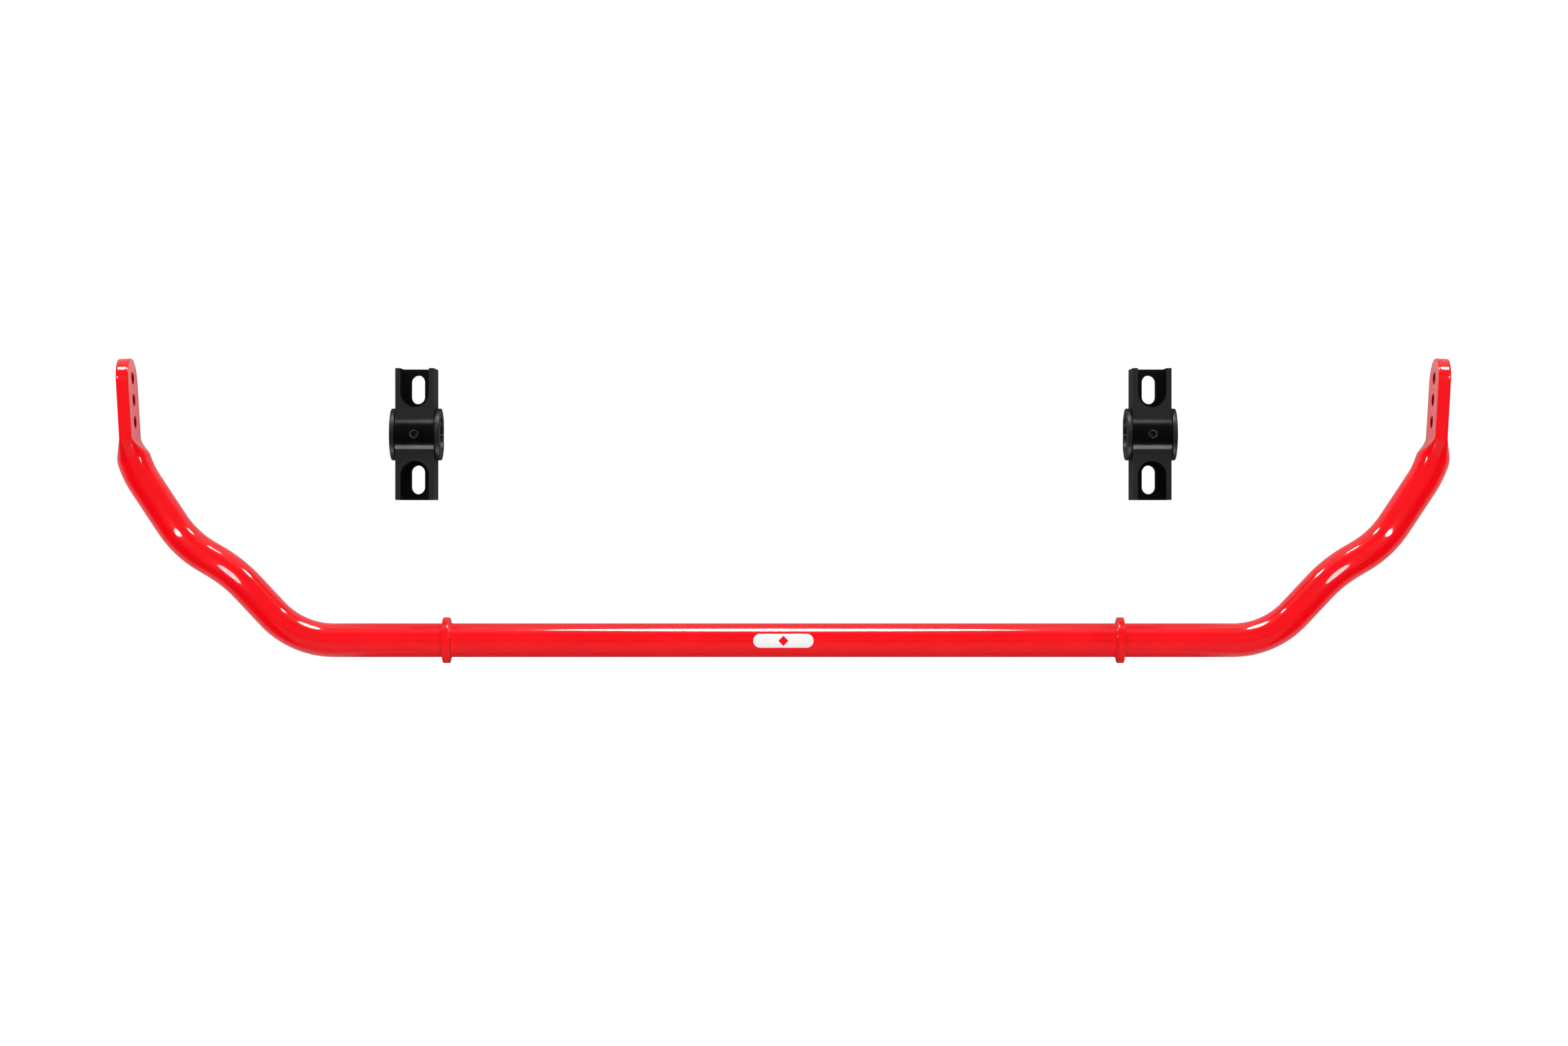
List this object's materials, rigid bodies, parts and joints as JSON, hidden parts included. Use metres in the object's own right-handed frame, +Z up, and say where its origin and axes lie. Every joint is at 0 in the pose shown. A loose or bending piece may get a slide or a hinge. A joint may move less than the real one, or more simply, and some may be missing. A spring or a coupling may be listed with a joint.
{
  "type": "sway bar",
  "caption": "Bent tubular anti-roll bar with flat drilled paddles and welded collars, with its slotted saddle mounts and flanged bushings laid out loose beside it.",
  "frame": {"origin": "on the floor, under the middle of the whole kit's box", "axes": "+X along the bar, +Y the way the arms point, +Z up, away from the surface the kit lies on"},
  "size_m": [1.1066, 0.2533, 0.04],
  "materials": {
    "red_powder_coat": "gloss",
    "white_print": "satin",
    "black_anodised": "satin",
    "black_bushing": "satin",
    "black_steel": "satin"
  },
  "bodies": {
    "bar": {"sway_bar": "red_powder_coat", "centre_mark": "white_print", "left_collar": "red_powder_coat", "right_collar": "red_powder_coat"},
    "left_bushing": {"left_bushing": "black_bushing"},
    "left_mount": {"left_bracket": "black_anodised", "left_grease_screw": "black_steel"},
    "right_bushing": {"right_bushing": "black_bushing"},
    "right_mount": {"right_bracket": "black_anodised", "right_grease_screw": "black_steel"}
  },
  "joints": [
    {"name": "left_fit", "type": "hinge", "parent": "bar", "child": "left_bushing", "pos_m": [0, -0.022, 0.019], "axis": [-1, 0, 0], "range_deg": [0, 180], "deforming": ["left_bushing"]},
    {"name": "left_roll", "type": "hinge", "parent": "left_bushing", "child": "left_mount", "pos_m": [0, 0.0635, 0.018], "axis": [1, 0, 0], "range_deg": [-25, 25]},
    {"name": "right_fit", "type": "hinge", "parent": "bar", "child": "right_bushing", "pos_m": [0, -0.022, 0.019], "axis": [-1, 0, 0], "range_deg": [0, 180], "deforming": ["right_bushing"]},
    {"name": "right_roll", "type": "hinge", "parent": "right_bushing", "child": "right_mount", "pos_m": [0, 0.0635, 0.018], "axis": [1, 0, 0], "range_deg": [-25, 25]}
  ]
}
